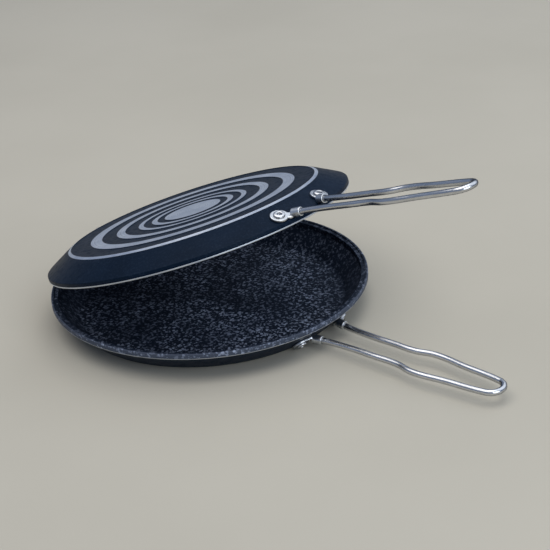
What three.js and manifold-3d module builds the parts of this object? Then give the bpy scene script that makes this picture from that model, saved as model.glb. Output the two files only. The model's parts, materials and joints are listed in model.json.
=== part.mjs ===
// Double sided flip pan: two round pans joined by a pin hinge, each with a wire loop handle.
// Millimetres, +Z up. The origin is the centre of the lower pan's base, on the face that it rests on.
// The handles point along +X, and the hinge pin lies along Y on the -X side.

import * as THREE from 'three';
import { mergeVertices } from 'three/addons/utils/BufferGeometryUtils.js';
import Module from 'manifold-3d';

const wasm = await Module();
wasm.setup();

// Driving dimensions of the pans

const rimRadius = 140;
const lowerDepth = 26;
const upperDepth = 18;
const lipHeight = 5;
const lipStep = 0.8;
const rimLand = 2.4;
const rimEdgeWidth = 3.4;
const rimChamfer = 0.5;
const wallThickness = 2.6;
const floorThickness = 3.4;
const lowerWallSpread = 22;
const upperWallSpread = 24.5;
const heelWidth = 2.5;
const heelHeight = 3;
const bevelWidth = 4.3;
const bevelHeight = 1.8;
const grooveDepth = 0.5;
const grooveSlope = 0.4;
const innerCornerRadius = 9;

// The bare rings turned on each base, as shares of the base radius, from the centre disc outwards.
// The outermost bare ring is the bevel at the base's edge.
const baseRingShares = [
  [0, 0.22],
  [0.278, 0.322],
  [0.387, 0.427],
  [0.533, 0.6],
  [0.716, 0.805],
];

// How the closed pans meet, and the hinge

const seatDepth = 1.2;
const seatClearance = 0.3;
const nestClearance = 0.6;
const openAngle = THREE.MathUtils.degToRad(18);
const pinReach = 7;
const pinRadius = 2.2;
const pinClearance = 0.08;
const pinHeadRadius = 3.8;
const pinHeadHeight = 1.6;
const knuckleRadius = 4.1;
const centreKnuckleLength = 13.4;
const sideKnuckleLength = 10;
const knuckleClearance = 0.3;
const washerThickness = 0.8;
const washerRadius = 4.1;
const leafThickness = 1.6;
const leafFoot = 2.5;
const leafCornerRadius = 4;
const leafRivetSpacing = 20;

// Handles: a round wire bent to a long loop, its ends held in lugs on the wall

const wireRadius = 2.5;
const handleReach = 164;
const lowerHandleDrop = 15.5;
const upperHandleDrop = 9;
const loopHalfWidth = 10.5;
const stemHalfWidth = 12.5;
const waistHalfWidth = 16;
const stemReach = 28;
const stemLength = 45;
const waistLength = 16;
const lugSpacing = 50;
const lugSplay = 9;
const lugReach = 7;
const lugThickness = 2;
const lugHeadRadius = 7.6;
const lugNeckHalfWidth = 3.4;
const lugNeckLength = 12;
const socketSeatShare = 0.5;
const socketRadius = 3.8;
const socketLength = 8;
const socketSetOut = 2.3;
const socketClearance = 0.25;

// Rivets

const shankRadius = 2.4;
const shankClearance = 0.3;
const handleHeadRadius = 4.8;
const leafHeadRadius = 3.8;
const headHeight = 1.5;
const innerHeadHeight = 1.2;
const hollowRadius = 1.9;
const hollowDepth = 2.2;

// Gap that a piece keeps from the piece it rests on, and the overrun of every cut
const restGap = 0.3;
const overrun = 6;

// Facets
const panSegments = 52;
const smallSegments = 12;
const knuckleSegments = 16;
const arcDivisions = 4;
const wireSides = 10;
const wireSteps = 66;
const cornerSteps = 3;

const lowerBaseRadius = rimRadius - lowerWallSpread;
const upperBaseRadius = rimRadius - upperWallSpread;
const upperRimRadius = rimRadius - rimLand - nestClearance;
const hingeRadius = rimRadius + pinReach;

// Sizes of one pan that the outline, the leaves and the lugs all work from.
// The wire runs level, and its ends start where the lugs' sockets lie on the lug plates.
function panSizes(name, radius, baseRadius, depth, pinHeight, handleDrop, seat) {
  const wallFoot = new THREE.Vector2(baseRadius + heelWidth, heelHeight);
  const wallTop = new THREE.Vector2(radius - lipStep, depth - lipHeight);
  const along = wallTop.clone().sub(wallFoot).normalize();
  const outward = new THREE.Vector2(along.y, -along.x);
  const wireLevel = depth - handleDrop;
  const wireStandOff = restGap + lugThickness + socketRadius * socketSeatShare;
  const wallAtWire = wallFoot.x + ((wireLevel - wallFoot.y) * along.x) / along.y;
  const wireStart = new THREE.Vector2(wallAtWire + wireStandOff / along.y, wireLevel);
  const lugRun = wireStart.clone().sub(wallFoot).dot(along) - lugReach;
  const lugRivetHeight = wallFoot.y + lugRun * along.y;
  const lugRivetRadius = wallFoot.x + lugRun * along.x;
  return {
    name, radius, depth, pinHeight, seat, baseRadius, wallFoot, wallTop, along, outward,
    wireLevel, wireStart, lugRivetHeight, lugRivetRadius,
  };
}

const upperPinHeight = upperDepth - seatDepth + seatClearance;
const lower = panSizes(
  'lower', rimRadius, lowerBaseRadius, lowerDepth, lowerDepth, lowerHandleDrop, true,
);
const upper = panSizes(
  'upper', upperRimRadius, upperBaseRadius, upperDepth, upperPinHeight, upperHandleDrop, false,
);

// Booleans

function toSolid(geometry) {
  const plain = geometry.clone();
  plain.deleteAttribute('normal');
  plain.deleteAttribute('uv');
  const merged = mergeVertices(plain, 1e-4);
  const mesh = new wasm.Mesh({
    numProp: 3,
    vertProperties: new Float32Array(merged.attributes.position.array),
    triVerts: new Uint32Array(merged.index.array),
  });
  mesh.merge();
  return new wasm.Manifold(mesh);
}

function toGeometry(solid) {
  const mesh = solid.getMesh();
  const geometry = new THREE.BufferGeometry();
  geometry.setAttribute('position', new THREE.BufferAttribute(mesh.vertProperties, mesh.numProp));
  geometry.setIndex(new THREE.BufferAttribute(mesh.triVerts, 1));
  geometry.computeVertexNormals();
  return geometry;
}

// A closed outline of [radius, height] points turned about Z
function revolve(points, segments) {
  const closed = [...points, points[0]];
  const geometry = new THREE.LatheGeometry(closed.map(([r, z]) => new THREE.Vector2(r, z)), segments);
  geometry.rotateX(Math.PI / 2);
  const solid = toSolid(geometry);
  return solid.volume() < 0 ? toSolid(turnInsideOut(geometry)) : solid;
}

function turnInsideOut(geometry) {
  const index = geometry.index.array;
  for (let i = 0; i < index.length; i += 3) {
    [index[i], index[i + 1]] = [index[i + 1], index[i]];
  }
  return geometry;
}

function cylinder(radius, length, segments = smallSegments) {
  const geometry = new THREE.CylinderGeometry(radius, radius, length, segments);
  return geometry.rotateX(Math.PI / 2);
}

// A flat outline in X and Y, made into a plate from one height to another
function prism(shape, from, to) {
  const geometry = new THREE.ExtrudeGeometry(shape, {
    depth: to - from,
    bevelEnabled: false,
    curveSegments: arcDivisions,
  });
  return geometry.translate(0, 0, from);
}

// Where something sits on the wall: origin on the outer face at a height and an azimuth,
// X up the wall to the rim, Z straight out of the wall
function onWall(pan, height, azimuth) {
  const run = (height - pan.wallFoot.y) / pan.along.y;
  const radius = pan.wallFoot.x + pan.along.x * run;
  const round = new THREE.Vector3(Math.cos(azimuth), Math.sin(azimuth), 0);
  const up = new THREE.Vector3(round.x * pan.along.x, round.y * pan.along.x, pan.along.y);
  const out = new THREE.Vector3(round.x * pan.outward.x, round.y * pan.outward.x, pan.outward.y);
  const side = out.clone().cross(up);
  const matrix = new THREE.Matrix4().makeBasis(up, side, out);
  return matrix.setPosition(round.x * radius, round.y * radius, height);
}

// Outline points on a round corner between two directions, with the corner cut back by a radius
function roundCorner(before, corner, after, radius) {
  const a = before.clone().sub(corner).normalize();
  const b = after.clone().sub(corner).normalize();
  const half = a.angleTo(b) / 2;
  const cut = radius / Math.tan(half);
  const middle = corner.clone().add(a.clone().add(b).normalize().multiplyScalar(radius / Math.sin(half)));
  const start = corner.clone().addScaledVector(a, cut).sub(middle).angle();
  const end = corner.clone().addScaledVector(b, cut).sub(middle).angle();
  const sweep = ((end - start + 3 * Math.PI) % (2 * Math.PI)) - Math.PI;
  const points = [];
  for (let i = 0; i <= cornerSteps; i += 1) {
    const angle = start + (sweep * i) / cornerSteps;
    points.push([middle.x + radius * Math.cos(angle), middle.y + radius * Math.sin(angle)]);
  }
  return points;
}

// The pans

function baseOutline(pan) {
  const points = [[0, 0]];
  const edges = baseRingShares.flat().slice(1).map((share) => share * pan.baseRadius);
  edges.push(pan.baseRadius - bevelWidth);
  for (let i = 0; i < edges.length; i += 2) {
    points.push([edges[i], 0]);
    points.push([edges[i] + grooveSlope, grooveDepth]);
    points.push([edges[i + 1] - grooveSlope, grooveDepth]);
    points.push([edges[i + 1], 0]);
  }
  return points;
}

function panOutline(pan) {
  const rim = pan.depth;
  const seatRadius = pan.radius - rimLand;
  const seatFloor = pan.seat ? rim - seatDepth : rim;
  const innerEdge = pan.seat ? seatRadius - rimEdgeWidth : pan.radius - rimEdgeWidth;
  const wallInner = pan.wallFoot.clone().addScaledVector(pan.outward, -wallThickness);
  const slope = pan.along.x / pan.along.y;
  const innerTop = new THREE.Vector2(innerEdge, wallInner.y + (innerEdge - wallInner.x) / slope);
  const cornerRadius = wallInner.x + (floorThickness - wallInner.y) * slope;
  const floorCorner = new THREE.Vector2(cornerRadius, floorThickness);
  const points = baseOutline(pan);
  points.push([pan.baseRadius, bevelHeight]);
  points.push([pan.wallFoot.x, pan.wallFoot.y]);
  points.push([pan.wallTop.x, pan.wallTop.y]);
  points.push([pan.radius, pan.wallTop.y + rimChamfer]);
  points.push([pan.radius, rim - rimChamfer]);
  points.push([pan.radius - rimChamfer, rim]);
  if (pan.seat) {
    points.push([seatRadius, rim]);
    points.push([seatRadius, seatFloor]);
  }
  points.push([innerEdge, seatFloor]);
  points.push([innerTop.x, innerTop.y]);
  points.push(...roundCorner(innerTop, floorCorner, new THREE.Vector2(0, floorThickness), innerCornerRadius));
  points.push([0, floorThickness]);
  return points;
}

// A sheet that follows the wall from its foot upwards and runs on straight past the lip
function wallSkin(pan, gap, thickness, footRun, endRadius) {
  const start = pan.wallFoot.clone().addScaledVector(pan.along, footRun);
  const run = (endRadius - start.x) / pan.along.x;
  const end = start.clone().addScaledVector(pan.along, run);
  const corner = (point, offset) => {
    const moved = point.clone().addScaledVector(pan.outward, offset);
    return [moved.x, moved.y];
  };
  const near = gap;
  const far = gap + thickness;
  return revolve([corner(start, near), corner(start, far), corner(end, far), corner(end, near)], panSegments);
}

const lugAzimuth = (pan, side) => side * Math.asin(lugSpacing / 2 / pan.lugRivetRadius);

const leafRivetHeight = (pan) => (pan.wallFoot.y + pan.wallTop.y) / 2;

const leafRivetAzimuth = (pan, side) => {
  const radius = (pan.wallFoot.x + pan.wallTop.x) / 2;
  return Math.PI - side * Math.asin(leafRivetSpacing / 2 / radius);
};

function rivetHole(matrix) {
  return toSolid(cylinder(shankRadius + shankClearance, 2 * overrun).applyMatrix4(matrix));
}

function panBody(pan) {
  let solid = revolve(panOutline(pan), panSegments);
  for (const side of [-1, 1]) {
    solid = solid.subtract(rivetHole(onWall(pan, pan.lugRivetHeight, lugAzimuth(pan, side))));
    solid = solid.subtract(rivetHole(onWall(pan, leafRivetHeight(pan), leafRivetAzimuth(pan, side))));
  }
  return toGeometry(solid);
}

// A hollow-ended rivet through a plate on the wall and the wall itself.
// plateTop is how far the plate's outer face stands off the wall.
function rivet(plateTop, headRadius) {
  const under = plateTop + restGap;
  const top = under + headHeight;
  const inside = -wallThickness - restGap;
  const bottom = inside - innerHeadHeight;
  const crownShare = 0.72;
  const rimShare = 0.35;
  const points = [
    [0, bottom],
    [headRadius * crownShare, bottom],
    [headRadius, inside - innerHeadHeight * rimShare],
    [headRadius, inside],
    [shankRadius, inside],
    [shankRadius, under],
    [headRadius, under],
    [headRadius, under + headHeight * rimShare],
    [headRadius * crownShare, top],
    [hollowRadius, top],
    [hollowRadius, top - hollowDepth],
    [0, top - hollowDepth],
  ];
  return toGeometry(revolve(points, smallSegments));
}

// Handle lugs: a spade plate on the wall, a neck and a socket that holds the wire's end

function wireCurve(pan) {
  const level = pan.wireLevel;
  const stemStart = rimRadius + stemReach;
  const waistStart = stemStart + stemLength;
  const waistEnd = waistStart + waistLength;
  const arcCentre = rimRadius + handleReach - wireRadius - loopHalfWidth;
  const bendShare = 0.4;
  const endHalfWidth = lugSpacing / 2 - lugSplay;
  const wireEnd = Math.sqrt(pan.wireStart.x ** 2 - endHalfWidth ** 2);
  const bendStart = wireEnd + (stemStart - wireEnd) * bendShare;
  const bendHalfWidth = stemHalfWidth + (endHalfWidth - stemHalfWidth) * bendShare;
  const side = [
    [wireEnd, endHalfWidth],
    [bendStart, bendHalfWidth],
    [stemStart, stemHalfWidth],
    [(stemStart + waistStart) / 2, stemHalfWidth],
    [waistStart, stemHalfWidth],
    [waistEnd, waistHalfWidth],
    [(waistEnd + arcCentre) / 2, (waistHalfWidth + loopHalfWidth) / 2],
  ];
  const points = side.map(([x, y]) => new THREE.Vector3(x, y, level));
  const arcSteps = 6;
  for (let i = 0; i <= arcSteps; i += 1) {
    const angle = Math.PI / 2 - (Math.PI * i) / arcSteps;
    const x = arcCentre + loopHalfWidth * Math.cos(angle);
    points.push(new THREE.Vector3(x, loopHalfWidth * Math.sin(angle), level));
  }
  for (const [x, y] of side.reverse()) {
    points.push(new THREE.Vector3(x, -y, level));
  }
  return new THREE.CatmullRomCurve3(points, false, 'centripetal');
}

function wireLoop(pan) {
  const ring = new THREE.Shape().absarc(0, 0, wireRadius, 0, 2 * Math.PI);
  return new THREE.ExtrudeGeometry(ring, {
    steps: wireSteps,
    extrudePath: wireCurve(pan),
    curveSegments: wireSides / 2,
  });
}

function spadeOutline() {
  const neckAngle = Math.asin(lugNeckHalfWidth / lugHeadRadius);
  const shape = new THREE.Shape();
  shape.absarc(0, 0, lugHeadRadius, neckAngle, 2 * Math.PI - neckAngle);
  shape.lineTo(lugNeckLength, -lugNeckHalfWidth);
  shape.lineTo(lugNeckLength, lugNeckHalfWidth);
  return shape;
}

// Where a lug lies on the wall: turned about its rivet, so that its neck points at the wire's end
function lugPlace(pan, side) {
  const seat = onWall(pan, pan.lugRivetHeight, lugAzimuth(pan, side));
  const end = wireCurve(pan).getPointAt(side > 0 ? 0 : 1);
  const seen = end.applyMatrix4(seat.clone().invert());
  return seat.multiply(new THREE.Matrix4().makeRotationZ(Math.atan2(seen.y, seen.x)));
}

function lug(pan, side) {
  const seat = lugPlace(pan, side);
  const outline = toSolid(prism(spadeOutline(), -overrun, overrun).applyMatrix4(seat));
  const plate = wallSkin(pan, restGap, lugThickness, 0, pan.radius).intersect(outline);
  const curve = wireCurve(pan);
  const end = curve.getPointAt(side > 0 ? 0 : 1);
  const heading = curve.getTangentAt(side > 0 ? 0 : 1).multiplyScalar(side);
  const turn = new THREE.Quaternion().setFromUnitVectors(new THREE.Vector3(0, 0, 1), heading);
  const placed = (geometry, shift) => {
    geometry.translate(0, 0, shift).applyQuaternion(turn);
    return toSolid(geometry.translate(end.x, end.y, end.z));
  };
  const socket = placed(cylinder(socketRadius, socketLength), socketSetOut);
  const bore = placed(cylinder(wireRadius + socketClearance, 2 * socketLength), socketLength - restGap);
  const wall = wallSkin(pan, -overrun, overrun + restGap, -overrun, pan.radius + overrun);
  const hole = rivetHole(seat);
  return toGeometry(plate.add(socket.subtract(wall)).subtract(bore).subtract(hole));
}

// Hinge: a leaf riveted on each wall, its knuckles on one pin

function roundedBox(width, from, to) {
  const shape = new THREE.Shape();
  const half = width / 2;
  shape.moveTo(to, -half);
  shape.lineTo(to, half);
  shape.lineTo(from + leafCornerRadius, half);
  shape.absarc(from + leafCornerRadius, half - leafCornerRadius, leafCornerRadius, Math.PI / 2, Math.PI);
  shape.absarc(from + leafCornerRadius, leafCornerRadius - half, leafCornerRadius, Math.PI, 1.5 * Math.PI);
  return shape;
}

function alongPin(geometry, pan, centre) {
  geometry.rotateX(Math.PI / 2);
  return geometry.translate(-hingeRadius, centre, pan.pinHeight);
}

function knuckle(pan, length, centre) {
  return alongPin(cylinder(knuckleRadius, length, knuckleSegments), pan, centre);
}

function hingeLeaf(pan, centreOnly) {
  const halfCentre = centreKnuckleLength / 2;
  const width = centreKnuckleLength + 2 * (knuckleClearance + sideKnuckleLength);
  const plateGap = restGap + lipStep * pan.along.y;
  const foot = pan.wallFoot.x + leafFoot * pan.along.x;
  const outline = roundedBox(width, foot, hingeRadius);
  const blank = toSolid(prism(outline, -pan.depth, 2 * pan.depth).rotateZ(Math.PI));
  const skinEnd = hingeRadius - pinRadius;
  let leaf = wallSkin(pan, plateGap, leafThickness, leafFoot, skinEnd).intersect(blank);
  const room = knuckleRadius + 2 * knuckleClearance;
  const notch = (length, centre) => {
    const box = new THREE.BoxGeometry(2 * room, length, 2 * pan.depth);
    return toSolid(box.translate(-hingeRadius, centre, pan.pinHeight));
  };
  const sideCentre = halfCentre + knuckleClearance + sideKnuckleLength / 2;
  if (centreOnly) {
    for (const side of [-1, 1]) {
      leaf = leaf.subtract(notch(sideKnuckleLength + 2 * knuckleClearance, side * sideCentre));
    }
    leaf = leaf.add(toSolid(knuckle(pan, centreKnuckleLength, 0)));
  } else {
    leaf = leaf.subtract(notch(centreKnuckleLength + 2 * knuckleClearance, 0));
    for (const side of [-1, 1]) {
      leaf = leaf.add(toSolid(knuckle(pan, sideKnuckleLength, side * sideCentre)));
    }
  }
  const bore = cylinder(pinRadius + pinClearance, 2 * width, knuckleSegments);
  leaf = leaf.subtract(toSolid(alongPin(bore, pan, 0)));
  for (const side of [-1, 1]) {
    leaf = leaf.subtract(rivetHole(onWall(pan, leafRivetHeight(pan), leafRivetAzimuth(pan, side))));
  }
  return toGeometry(leaf);
}

const hingeHalfLength = centreKnuckleLength / 2 + knuckleClearance + sideKnuckleLength;

function hingePin() {
  const shoulder = hingeHalfLength + washerThickness + 2 * restGap;
  const end = shoulder + pinHeadHeight;
  const edgeShare = 0.6;
  const points = [
    [0, -end],
    [pinHeadRadius * edgeShare, -end],
    [pinHeadRadius, -shoulder - pinHeadHeight * edgeShare],
    [pinHeadRadius, -shoulder],
    [pinRadius, -shoulder],
    [pinRadius, shoulder],
    [pinHeadRadius, shoulder],
    [pinHeadRadius, shoulder + pinHeadHeight * edgeShare],
    [pinHeadRadius * edgeShare, end],
    [0, end],
  ];
  return alongPin(toGeometry(revolve(points, knuckleSegments)), lower, 0);
}

function hingeWasher(side) {
  const inner = pinRadius + pinClearance;
  const points = [
    [inner, 0],
    [washerRadius, 0],
    [washerRadius, washerThickness],
    [inner, washerThickness],
  ];
  const centre = side * (hingeHalfLength + restGap + washerThickness / 2);
  const washer = toGeometry(revolve(points, knuckleSegments)).translate(0, 0, -washerThickness / 2);
  return alongPin(washer, lower, centre);
}

// Finishes

const coated = { color: 0x1f2838, roughness: 0.42, metalness: 0.25 };
const steel = { color: 0xc3c8cd, roughness: 0.22, metalness: 1 };
const zinc = { color: 0xa9afb5, roughness: 0.35, metalness: 1 };

function named(name, geometry, finish) {
  const mesh = new THREE.Mesh(geometry, new THREE.MeshStandardMaterial(finish));
  mesh.name = name;
  return mesh;
}

function placedOnWall(mesh, matrix) {
  mesh.applyMatrix4(matrix);
  return mesh;
}

// Every piece of one pan, in the pan's own upright frame
function panGroup(pan, centreOnly) {
  const group = new THREE.Group();
  group.add(named(`${pan.name}_pan`, panBody(pan), coated));
  group.add(named(`${pan.name}_handle_wire`, wireLoop(pan), steel));
  group.add(named(`${pan.name}_hinge_leaf`, hingeLeaf(pan, centreOnly), steel));
  const lugTop = restGap + lugThickness;
  const leafTop = restGap + lipStep * pan.along.y + leafThickness;
  for (const [side, word] of [[-1, 'right'], [1, 'left']]) {
    const lugSeat = onWall(pan, pan.lugRivetHeight, lugAzimuth(pan, side));
    const leafSeat = onWall(pan, leafRivetHeight(pan), leafRivetAzimuth(pan, side));
    const handleRivet = named(`${pan.name}_handle_rivet_${word}`, rivet(lugTop, handleHeadRadius), steel);
    const hingeRivet = named(`${pan.name}_hinge_rivet_${word}`, rivet(leafTop, leafHeadRadius), steel);
    group.add(named(`${pan.name}_lug_${word}`, lug(pan, side), steel));
    group.add(placedOnWall(handleRivet, lugSeat));
    group.add(placedOnWall(hingeRivet, leafSeat));
  }
  return group;
}

// Assembly: the upper pan is turned over onto the lower one and swung open about the pin

const part = new THREE.Group();
part.add(panGroup(lower, false));

const swing = new THREE.Group();
swing.position.set(-hingeRadius, 0, lower.pinHeight);
swing.rotation.y = -openAngle;
const turnedOver = panGroup(upper, true);
turnedOver.rotation.x = Math.PI;
turnedOver.position.set(hingeRadius, 0, upper.pinHeight);
swing.add(turnedOver);
part.add(swing);

part.add(named('hinge_pin', hingePin(), zinc));
part.add(named('hinge_washer_left', hingeWasher(1), zinc));
part.add(named('hinge_washer_right', hingeWasher(-1), zinc));

export default part;
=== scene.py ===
import json
import math

import bpy
from mathutils import Matrix, Vector


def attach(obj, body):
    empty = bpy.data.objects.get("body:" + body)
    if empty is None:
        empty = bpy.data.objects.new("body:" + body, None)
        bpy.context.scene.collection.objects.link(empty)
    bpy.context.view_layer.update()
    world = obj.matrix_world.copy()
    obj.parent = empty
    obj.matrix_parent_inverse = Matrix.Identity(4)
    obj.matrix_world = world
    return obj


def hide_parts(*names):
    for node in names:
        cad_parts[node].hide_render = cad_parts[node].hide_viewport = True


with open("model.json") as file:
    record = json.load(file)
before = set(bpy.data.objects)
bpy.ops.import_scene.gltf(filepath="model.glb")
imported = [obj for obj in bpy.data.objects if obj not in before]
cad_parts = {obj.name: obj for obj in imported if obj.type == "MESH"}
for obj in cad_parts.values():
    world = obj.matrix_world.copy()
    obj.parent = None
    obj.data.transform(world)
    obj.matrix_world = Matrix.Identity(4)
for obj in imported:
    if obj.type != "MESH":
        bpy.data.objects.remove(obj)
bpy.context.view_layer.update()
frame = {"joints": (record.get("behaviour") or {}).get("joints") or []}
bpy.ops.object.select_all(action='DESELECT')


# Lower pan
# A round dish pressed from aluminium and turned on a lathe: rings stand proud on its base, and a ledge inside
# the rim takes the upper pan. It is coated in dark navy, with granite specks inside, and left bare on the
# rings and on the lip's lower edge.

rim_radius = 0.140
lower_base_radius = 0.118
lower_depth = 0.026
lower_handle_drop = 0.0155
lip_height = 0.005
lip_step = 0.0008
lip_rounding = 0.0004
rim_land = 0.0024
rim_edge_width = 0.0034
rim_chamfer = 0.0005
rim_rounding = 0.00018
bare_edge = 0.0014
seat_depth = 0.0012
wall_thickness = 0.0026
floor_thickness = 0.0034
heel_width = 0.0025
heel_height = 0.003
heel_rounding = 0.0012
bevel_width = 0.0043
bevel_height = 0.0018
bare_bevel_share = 0.65
groove_depth = 0.0005
groove_slope = 0.0004
inner_corner_radius = 0.009
inner_corner_steps = 10
bare_ring_shares = [(0, 0.22), (0.278, 0.322), (0.387, 0.427), (0.533, 0.6), (0.716, 0.805)]
floor_ring_shares = (0.75, 0.5, 0.25, 0.08)
pan_divisions = 192
pan_sharp_angle = 32
same_place = 0.00001
merge_distance = 0.000001


def pan_sizes(radius, base_radius, depth, handle_drop, seat):
    """The points that a pan's outline, its lugs and its hinge leaf share, as radius and height."""
    foot = Vector((base_radius + heel_width, heel_height))
    top = Vector((radius - lip_step, depth - lip_height))
    along = (top - foot).normalized()
    return {
        'radius': radius, 'base': base_radius, 'depth': depth, 'seat': seat,
        'wire_level': depth - handle_drop,
        'foot': foot, 'top': top, 'along': along, 'outward': Vector((along.y, -along.x)),
    }


def inner_corner(before, corner, radius, steps):
    """The rounding between the inside wall and the level floor."""
    wall = (before - corner).normalized()
    floor = Vector((-1, 0))
    half = wall.angle(floor) / 2
    middle = corner + (wall + floor).normalized() * radius / math.sin(half)
    start = corner + wall * radius / math.tan(half) - middle
    turn = math.pi - 2 * half
    points = []
    for step in range(steps + 1):
        angle = -turn * step / steps
        c, s = math.cos(angle), math.sin(angle)
        points.append(middle + Vector((start.x * c - start.y * s, start.x * s + start.y * c)))
    return points


def dish_outline(pan):
    """Half of a section through a pan, from the middle of its base round to the middle of its floor."""
    radius, base, depth = pan['radius'], pan['base'], pan['depth']
    seat_radius = radius - rim_land
    seat_floor = depth - seat_depth if pan['seat'] else depth
    inner_edge = (seat_radius if pan['seat'] else radius) - rim_edge_width
    slope = pan['along'].x / pan['along'].y
    inner_foot = pan['foot'] - pan['outward'] * wall_thickness
    inner_top = Vector((inner_edge, inner_foot.y + (inner_edge - inner_foot.x) / slope))
    corner = Vector((inner_foot.x + (floor_thickness - inner_foot.y) * slope, floor_thickness))
    points = []
    edges = [share * base for ring in bare_ring_shares for share in ring][1:] + [base - bevel_width]
    for inner, outer in zip(edges[0::2], edges[1::2]):
        points += [(inner, 0), (inner + groove_slope, groove_depth)]
        points += [(outer - groove_slope, groove_depth), (outer, 0)]
    points += [
        (base - bevel_width * (1 - bare_bevel_share), bevel_height * bare_bevel_share),
        (base, bevel_height),
        tuple(pan['foot']),
        tuple(pan['top']),
        (radius, depth - lip_height + rim_chamfer),
        (radius, depth - bare_edge),
        (radius, depth - rim_chamfer),
        (radius - rim_chamfer, depth),
    ]
    if pan['seat']:
        points += [(seat_radius, depth), (seat_radius, seat_floor)]
    points += [(inner_edge, seat_floor), tuple(inner_top)]
    points += [tuple(p) for p in inner_corner(inner_top, corner, inner_corner_radius, inner_corner_steps)]
    points += [(base * share, floor_thickness) for share in floor_ring_shares]
    return points


def turned(name, outline, divisions, bored=False):
    """Turns an outline about Z, ring by ring. A bored piece has a hole and ends on its first ring."""
    radius, height = outline[0]
    fill = 'NOTHING' if bored else 'TRIFAN'
    bpy.ops.mesh.primitive_circle_add(
        vertices=divisions, radius=radius, fill_type=fill, location=(0, 0, height))
    piece = bpy.context.object
    piece.name = name
    bpy.ops.object.mode_set(mode='EDIT')
    if not bored:
        bpy.ops.mesh.region_to_loop()
    for next_radius, next_height in outline[1:] + (outline[:1] if bored else []):
        bpy.ops.mesh.extrude_edges_move(TRANSFORM_OT_translate={"value": (0, 0, next_height - height)})
        share = next_radius / radius
        bpy.ops.transform.resize(value=(share, share, 1), center_override=(0, 0, next_height))
        radius, height = next_radius, next_height
    if not bored:
        bpy.ops.mesh.merge(type='CENTER')
    bpy.ops.mesh.select_all(action='SELECT')
    bpy.ops.mesh.remove_doubles(threshold=merge_distance)
    bpy.ops.mesh.normals_make_consistent(inside=False)
    bpy.ops.object.mode_set(mode='OBJECT')
    bpy.ops.object.transform_apply(location=True, rotation=True, scale=True)
    return piece


def round_edges(piece, chosen, size, steps):
    """Rounds those edges of a piece whose two ends pass a test."""
    bpy.ops.object.mode_set(mode='EDIT')
    bpy.ops.mesh.select_mode(type='EDGE')
    bpy.ops.mesh.select_all(action='DESELECT')
    bpy.ops.object.mode_set(mode='OBJECT')
    corners = piece.data.vertices
    for edge in piece.data.edges:
        edge.select = chosen(*(corners[c].co for c in edge.vertices))
    bpy.ops.object.mode_set(mode='EDIT')
    bpy.ops.mesh.bevel(offset=size, segments=steps, affect='EDGES')
    bpy.ops.object.mode_set(mode='OBJECT')


def round_rings(piece, rings, size, steps):
    """Rounds the sharp rings of a turned piece that lie at these radii and heights."""
    def on_ring(corner):
        radius = math.hypot(corner.x, corner.y)
        return any(abs(radius - r) < same_place and abs(corner.z - z) < same_place for r, z in rings)

    round_edges(piece, lambda one, other: on_ring(one) and on_ring(other), size, steps)


def put(piece, place):
    """Moves a finished piece to its place and leaves its origin at the middle of the lower pan's base."""
    bpy.ops.object.select_all(action='DESELECT')
    piece.select_set(True)
    bpy.context.view_layer.objects.active = piece
    piece.matrix_world = place @ piece.matrix_world
    bpy.context.view_layer.update()
    bpy.ops.object.transform_apply(location=True, rotation=True, scale=True)
    return piece


def smooth(piece, degrees):
    """Shades a piece smooth and keeps its edges sharp above an angle."""
    bpy.ops.object.select_all(action='DESELECT')
    piece.select_set(True)
    bpy.context.view_layer.objects.active = piece
    bpy.ops.object.shade_smooth_by_angle(angle=math.radians(degrees))


def new_material(name):
    """An empty surface: its node tree and its Principled shader."""
    material = bpy.data.materials.new(name)
    material.use_nodes = True
    tree = material.node_tree
    return material, tree, tree.nodes['Principled BSDF']


def new_group(name, inputs, outputs):
    """A node group with named inputs and outputs."""
    group = bpy.data.node_groups.new(name, 'ShaderNodeTree')
    for label, kind, value in inputs:
        socket = group.interface.new_socket(label, in_out='INPUT', socket_type=kind)
        if value is not None:
            socket.default_value = value
    for label in outputs:
        group.interface.new_socket(label, in_out='OUTPUT', socket_type='NodeSocketFloat')
    return group, group.nodes.new('NodeGroupInput'), group.nodes.new('NodeGroupOutput')


def feed(tree, socket, value):
    """Links a socket to another one, or sets its number or colour."""
    if isinstance(value, bpy.types.NodeSocket):
        tree.links.new(value, socket)
    else:
        socket.default_value = value


def calc(tree, operation, *terms):
    """One step of arithmetic on values that change over the surface."""
    node = tree.nodes.new('ShaderNodeMath')
    node.operation = operation
    for socket, term in zip(node.inputs, terms):
        feed(tree, socket, term)
    return node.outputs[0]


def graded(tree, value, low, high, to_low=0.0, to_high=1.0):
    """A soft step from one value to another, between two limits."""
    node = tree.nodes.new('ShaderNodeMapRange')
    node.interpolation_type = 'SMOOTHSTEP'
    for socket, term in zip(node.inputs, (value, low, high, to_low, to_high)):
        feed(tree, socket, term)
    return node.outputs[0]


def mixed(tree, share, first, second):
    """Two colours mixed. The Mix node's colour sockets are its inputs 6 and 7 and its output 2."""
    node = tree.nodes.new('ShaderNodeMix')
    node.data_type = 'RGBA'
    feed(tree, node.inputs[0], share)
    feed(tree, node.inputs[6], first)
    feed(tree, node.inputs[7], second)
    return node.outputs[2]


def noise(tree, vector, scale, detail=2.0, roughness=0.5):
    """Cloudy noise, in so many cells per metre."""
    node = tree.nodes.new('ShaderNodeTexNoise')
    tree.links.new(vector, node.inputs['Vector'])
    node.inputs['Scale'].default_value = scale
    node.inputs['Detail'].default_value = detail
    node.inputs['Roughness'].default_value = roughness
    return node.outputs[0]


def bump(tree, shader, height, strength, distance):
    """Fine relief that is too small to model."""
    node = tree.nodes.new('ShaderNodeBump')
    node.inputs['Strength'].default_value = strength
    node.inputs['Distance'].default_value = distance
    feed(tree, node.inputs['Height'], height)
    tree.links.new(node.outputs['Normal'], shader.inputs['Normal'])


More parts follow.
